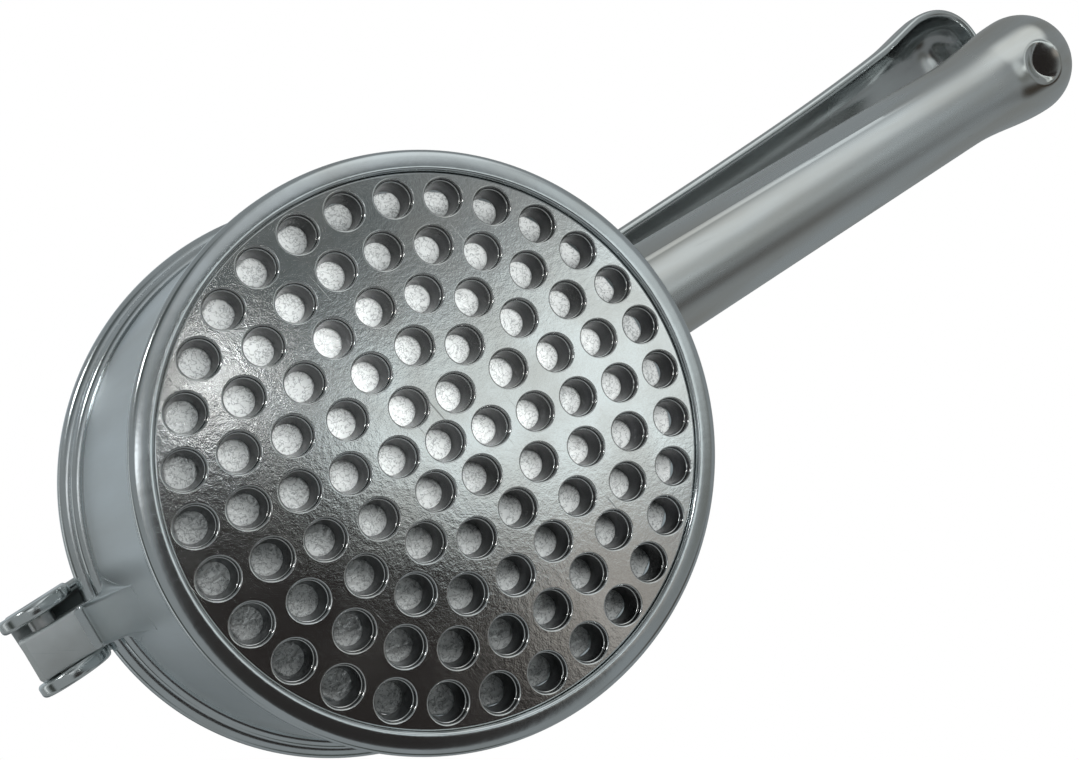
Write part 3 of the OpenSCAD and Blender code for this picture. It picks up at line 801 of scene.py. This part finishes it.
def channel_half(half_w, height, wall, crown):
    """Half section of the channel, from the crown's middle outside, round the edge, to the crown inside.

    Outside and inside are superellipses, with their points gathered towards both ends. The edge between
    them is half a circle as thick as the wall. The inside is rounder, and narrows on its way up."""
    half_w, height = half_w[:, None], height[:, None] - wall / 2
    gather = 0.95
    t = np.linspace(0, 1, side_points)
    turn = np.pi / 2 * (t - gather * np.sin(2 * np.pi * t) / (2 * np.pi))
    across, up = np.sin(turn) ** section_power, np.cos(turn) ** section_power
    inside_up = np.cos(turn[::-1]) ** inside_power
    inside_across = np.sin(turn[::-1]) ** inside_power * (1 - inside_draft * inside_up)
    half_turn = np.radians(np.linspace(0, 180, edge_points + 2))[1:-1]
    y = [half_w * across, half_w - wall / 2 + wall / 2 * np.cos(half_turn), (half_w - wall) * inside_across]
    z = [wall / 2 + height * up, wall / 2 - wall / 2 * np.sin(half_turn) + 0 * half_w,
         wall / 2 + (height - crown) * inside_up]
    return np.concatenate(y, 1), np.concatenate(z, 1)


spoon_middle = lever_reach - spoon_round
lever_rows = np.concatenate([np.linspace(lever_front, fork_end, 32),
                             np.linspace(fork_end, spoon_middle, 84)[1:]])
side_half = through_stations(lever_rows, station_half)
spoon_turn = np.radians(np.linspace(90, -90, 57))[1:-1]
spoon_half = through_stations(np.array([spoon_middle]), station_half)
spoon_out = (np.abs(np.cos(spoon_turn) / spoon_round) ** spoon_power
             + np.abs(np.sin(spoon_turn) / spoon_half) ** spoon_power) ** (-1 / spoon_power)
row_x = np.concatenate([lever_rows, 0 * spoon_turn + spoon_middle, lever_rows[::-1]])
row_half = np.concatenate([side_half, spoon_out, side_half[::-1]])
row_forward = np.concatenate([0 * lever_rows, np.cos(spoon_turn), 0 * lever_rows])
row_side = np.concatenate([0 * lever_rows + 1, np.sin(spoon_turn), 0 * lever_rows - 1])
row_height = through_stations(row_x, station_back) - through_stations(row_x, station_edge)
channel_y, channel_z = channel_half(row_half, row_height, lever_wall, crown_t)
channel_x = row_x[:, None] + channel_y * row_forward[:, None]
channel = np.stack([channel_x, channel_y * row_side[:, None],
                    channel_z + through_stations(channel_x, station_edge)], -1)


def rounded_end(row):
    """Rows that close an open end of the channel: the wall closes on its middle along a quarter round."""
    middle = (row + row[::-1]) / 2
    quarter = np.radians([30, 60, 90])[:, None, None]
    return middle + (row - middle) * np.cos(quarter) - np.sin(quarter) * [lever_wall / 2, 0, 0]


channel = np.concatenate([rounded_end(channel[0])[::-1], channel, rounded_end(channel[-1])])
fork_planes = [(1, 0, fork_back), (-1, 0, fork_front), (0, 1, fork_top)]
ear_low, ear_high = fork_inner - fork_proud_inside, fork_outer + fork_proud_outside
fork = [eye_plate((hinge_x, hinge_z), hinge_pin_r, fork_r, 180, fork_planes, low, high, fork_edge)
        for low, high in ((ear_low, ear_high), (-ear_high, -ear_low))]
lug_x = (plunger_shift - hinge_x) * np.cos(lean) + hinge_x
lug_rise = lug_root_z - plunger_pin_z
lug_side = np.array([lug_rise, eye_r - lug_root]) / np.hypot(lug_rise, eye_r - lug_root)
side_reach = lug_side @ (eye_r, 0)
lug_planes = [(*lug_side, side_reach), (-lug_side[0], lug_side[1], side_reach),
              (0, 1, lug_rise - root_sink)]
lug = eye_plate((lug_x, plunger_pin_z), plunger_pin_r + lug_play, eye_r, 180, lug_planes,
                -lug_half_w, lug_half_w, lug_edge)
first_inside = side_points + edge_points
lever_shells = [(skin, grid_faces(*skin.shape[:2], False, False), number)
                for number, skin in enumerate((channel[:, :first_inside + 1], channel[:, first_inside:]))]
lever_shells += [(part, grid_faces(*part.shape[:2], True, True), 0) for part in [*fork, lug]]


def leaned(points):
    """Where the lever really lies: slid along the hinge pin, then turned sideways about the hinge."""
    return turned_about_z(points + [-hinge_x, lever_slide, 0], lean) + [hinge_x, 0, 0]


# The palm has polished the inside of the spoon.
spoon_polish = ("X", 130, 160, 1.0, 0.4)
lever_metal = cast_metal(
    "bright_lever", colour=(0.76, 0.80, 0.80), tarnish_and_shade=(0.66, 0.68, 0.67), roughness=0.2, spread=0.04,
    skin={"Stretch": (0.3, 1, 1), "Grains per metre": 2000, "Waves per metre": 260,
          "Grain depth": 2e-6, "Wave depth": 4e-5},
    marks={"Turn": 1.3, "Rarity": 0.68})
# The channel's inside is painted darker than the lever's outside, as painted shade in the hollow; its higher
# roughness is a duller finish.
channel_shade_metal = cast_metal(
    "channel_painted_shade", colour=(0.62, 0.65, 0.65), tarnish_and_shade=(0.46, 0.47, 0.47), roughness=0.38, spread=0.03,
    skin={"Stretch": (0.3, 1, 1), "Grains per metre": 1200, "Waves per metre": 60,
          "Grain depth": 0, "Wave depth": 1.5e-4},
    marks={"Turn": 1.3, "Rarity": 0.75}, rubbed=[spoon_polish])
lever = cast_piece("lever_casting", [
    (leaned(points), faces, number) for points, faces, number in lever_shells],
    [lever_metal, channel_shade_metal])
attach(lever, "lever_arm")
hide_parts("lever")

# Hinge pin: a drawn steel rod through both ears of the lever and the cup's tongue.
# It sits tight in the ears, turns loosely in the tongue, and leans and slides with the lever.
hinge_rod = cross_pin(hinge_x, hinge_z, hinge_pin_r, fork_outer + pin_proud)
hinge_pin = cast_piece("hinge_rod", [
    (leaned(hinge_rod), grid_faces(*hinge_rod.shape[:2], True, False), 0)], [pin_metal], pin_sharp)
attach(hinge_pin, "lever_arm")
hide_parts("hinge_pin")

# Floor: a pale sheet that only shows from above, because the photograph looks up at the press.
# Light passes through it from both sides, so the underside isn't left in its shadow.
floor_size = 6.0
floor_colour = (0.86, 0.86, 0.85)
floor_mesh = bpy.data.meshes.new("floor")
floor_corners = floor_size / 2 * np.array([[-1, -1, 0], [1, -1, 0], [1, 1, 0], [-1, 1, 0]])
floor_mesh.from_pydata(floor_corners, [], [[0, 1, 2, 3]])
floor = bpy.data.objects.new("floor", floor_mesh)
bpy.context.scene.collection.objects.link(floor)
floor_paint = bpy.data.materials.new("pale_floor")
floor_paint.use_nodes = True
tree = floor_paint.node_tree
tree.nodes.clear()
path = add(tree, "ShaderNodeLightPath")
back = add(tree, "ShaderNodeNewGeometry")
front = add(tree, "ShaderNodeMath", {0: 1.0, 1: back.outputs["Backfacing"]}, operation="SUBTRACT")
seen = add(tree, "ShaderNodeMath", {0: path.outputs["Is Camera Ray"], 1: front.outputs[0]},
           operation="MULTIPLY")
clear = add(tree, "ShaderNodeBsdfTransparent")
pale = add(tree, "ShaderNodeBsdfDiffuse", {"Color": (*floor_colour, 1)})
mix = add(tree, "ShaderNodeMixShader", {0: seen.outputs[0], 1: clear.outputs[0], 2: pale.outputs[0]})
add(tree, "ShaderNodeOutputMaterial", {"Surface": mix.outputs[0]})
floor_mesh.materials.append(floor_paint)

# Studio: the camera sees plain white, and the metal mirrors a dark room with soft light panels.
world = bpy.data.worlds.new("studio")
bpy.context.scene.world = world
world.use_nodes = True
tree = world.node_tree
tree.nodes.clear()
room = add(tree, "ShaderNodeTexCoord").outputs["Generated"]


def light_panel(total, name, heading, tilt, away, around, roll, edge, colour):
    """Lays a soft ellipse over what the room shows so far and gives back the new view of it.

    It stands at a heading from +X and a tilt up from straight below, in degrees. It has a half size away
    from straight below, one around it, and a roll. Its cover falls to nothing over its outer share, edge."""
    turn = Matrix.Rotation(np.radians(heading), 3, "Z") @ Matrix.Rotation(np.radians(-tilt), 3, "Y")
    middle = turn @ Vector((0, 0, -1))
    facing = turn @ Matrix.Rotation(np.radians(roll), 3, "Z")
    local = add(tree, "ShaderNodeMapping", {
        "Vector": room, "Location": middle, "Rotation": facing.to_euler(), "Scale": (away, around, 1)},
        vector_type="TEXTURE")
    glow = add(tree, "ShaderNodeTexGradient", {"Vector": local.outputs[0]}, gradient_type="SPHERICAL")
    cover = add(tree, "ShaderNodeMapRange", {"Value": glow.outputs[1], "From Max": edge},
                interpolation_type="SMOOTHSTEP")
    covered = add(tree, "ShaderNodeMix", {0: cover.outputs[0], 6: total, 7: (*colour, 1)},
                  data_type="RGBA", label=name)
    return covered.outputs[2]


room_grey = (0.255, 0.27, 0.275)
panels = [
    ("ceiling", -120, 160, 0.75, 0.75, 0, 0.8, (0.42, 0.465, 0.49)),
    ("dark_ceiling", 130, 152, 0.38, 0.38, 0, 0.8, (0.09, 0.105, 0.11)),
    ("dark_room_ahead", 110, 88, 0.26, 0.5, 0, 0.5, (0.05, 0.055, 0.05)),
    ("dark_room_left", 175, 90, 0.22, 0.6, 0, 0.5, (0.03, 0.035, 0.03)),
    ("light_on_beads", 190, 116, 0.1, 0.6, 0, 0.5, (0.9, 0.93, 0.93)),
    ("dark_floor", 78.7, 14.6, 0.3, 0.3, 0, 0.25, (0.022, 0.019, 0.018)),
    ("grey_floor", 25.0, 38.7, 0.22, 0.25, 0, 0.6, (0.17, 0.175, 0.165)),
    ("warm_floor", 33.5, 23.5, 0.09, 0.09, 0, 0.7, (0.42, 0.39, 0.36)),
    ("rim_light", -56.3, 20.8, 0.36, 0.17, 56, 0.6, (0.44, 0.46, 0.47)),
    ("grey_under_rim", -22.6, 14.9, 0.2, 0.075, 20, 0.6, (0.09, 0.1, 0.1)),
    ("handle_grey", -2.9, 35.0, 0.18, 0.33, 0, 0.6, (0.56, 0.59, 0.59)),
    ("face_light", 11.4, 24.7, 0.11, 0.105, 0, 0.3, (0.9, 0.96, 0.96)),
    ("face_light_low", 9.3, 17.8, 0.11, 0.066, 0, 0.5, (0.8, 0.86, 0.86)),
    ("face_light_tail", 16.3, 17.4, 0.1, 0.05, 31, 0.4, (0.86, 0.92, 0.92)),
    ("white_spot", -14.0, 10.4, 0.024, 0.018, -30, 0.5, (6, 6, 6)),
    ("wall_strip", -140.7, 16.3, 0.25, 0.06, -20, 0.6, (1.7, 1.72, 1.74)),
    ("brown_wall", 51.2, 58.3, 0.32, 0.34, 0, 0.8, (0.05, 0.042, 0.034)),
    ("handle_light", -47.3, 52.5, 0.6, 0.42, 0, 0.6, (0.78, 0.81, 0.81)),
    ("dark_low_wall", -113.6, 51.8, 0.4, 0.4, 0, 0.5, (0.08, 0.09, 0.09)),
    ("knob_glint", -126, 75, 0.1, 0.1, 0, 0.4, (14, 14, 14)),
]
light = (*room_grey, 1)
for panel in panels:
    light = light_panel(light, *panel)
path = add(tree, "ShaderNodeLightPath")
white = add(tree, "ShaderNodeBackground", {"Color": (1, 1, 1, 1), "Strength": 1.0})
mirrored = add(tree, "ShaderNodeBackground", {"Color": light, "Strength": 1.0})
mix = add(tree, "ShaderNodeMixShader", {
    0: path.outputs["Is Camera Ray"], 1: mirrored.outputs[0], 2: white.outputs[0]})
add(tree, "ShaderNodeOutputWorld", {"Surface": mix.outputs[0]})
bpy.context.scene.view_settings.view_transform = "Standard"


def soft_box(name, place, aim, size, power, roll=0):
    """Rectangular studio light at a place in mm, turned to face a point, then rolled about the upright."""
    lamp = bpy.data.lights.new(name, "AREA")
    lamp.shape = "RECTANGLE"
    lamp.size, lamp.size_y = (side * MM for side in size)
    lamp.energy = power
    light = bpy.data.objects.new(name, lamp)
    light.location = Vector(place) * MM
    facing = (Vector(aim) - Vector(place)).to_track_quat("-Z", "Y").to_matrix()
    light.rotation_euler = (Matrix.Rotation(np.radians(roll), 3, "Z") @ facing).to_euler()
    light.visible_camera = False
    bpy.context.scene.collection.objects.link(light)
    return light


key = soft_box("key_from_above", place=(350, 500, 800), aim=(40, 0, 40), size=(400, 400), power=8)
hole_lamp = soft_box("into_the_holes", place=(16, -9, -48), aim=(16, -9, 0), size=(80, 30), power=0.17,
                     roll=34)
key.visible_glossy = hole_lamp.visible_glossy = False

# Camera: below the press, looking up at the perforated face past its hinge side.
photo_size = np.array([1079, 760])
lens_in_pixels = 1433.8
picture_middle = np.array([639.5, 287.1])
camera_place = Vector((-61.13, -15.23, -201.57)) * MM
looking = Vector((0.44551, 0.045452, 0.894122)).normalized()
picture_up = Vector((0.457588, -0.869965, -0.183776)).normalized()
sensor = 36.0
camera_data = bpy.data.cameras.new("camera")
camera_data.sensor_width = sensor
camera_data.lens = sensor * lens_in_pixels / photo_size[0]
camera_data.shift_x, camera_data.shift_y = (photo_size / 2 - picture_middle) * [1, -1] / photo_size[0]
camera_data.clip_start = 0.01
camera = bpy.data.objects.new("camera", camera_data)
to_right = looking.cross(picture_up).normalized()
turn = Matrix((to_right, to_right.cross(looking), -looking)).transposed()
camera.matrix_world = Matrix.Translation(camera_place) @ turn.to_4x4()
bpy.context.scene.collection.objects.link(camera)
bpy.context.scene.camera = camera
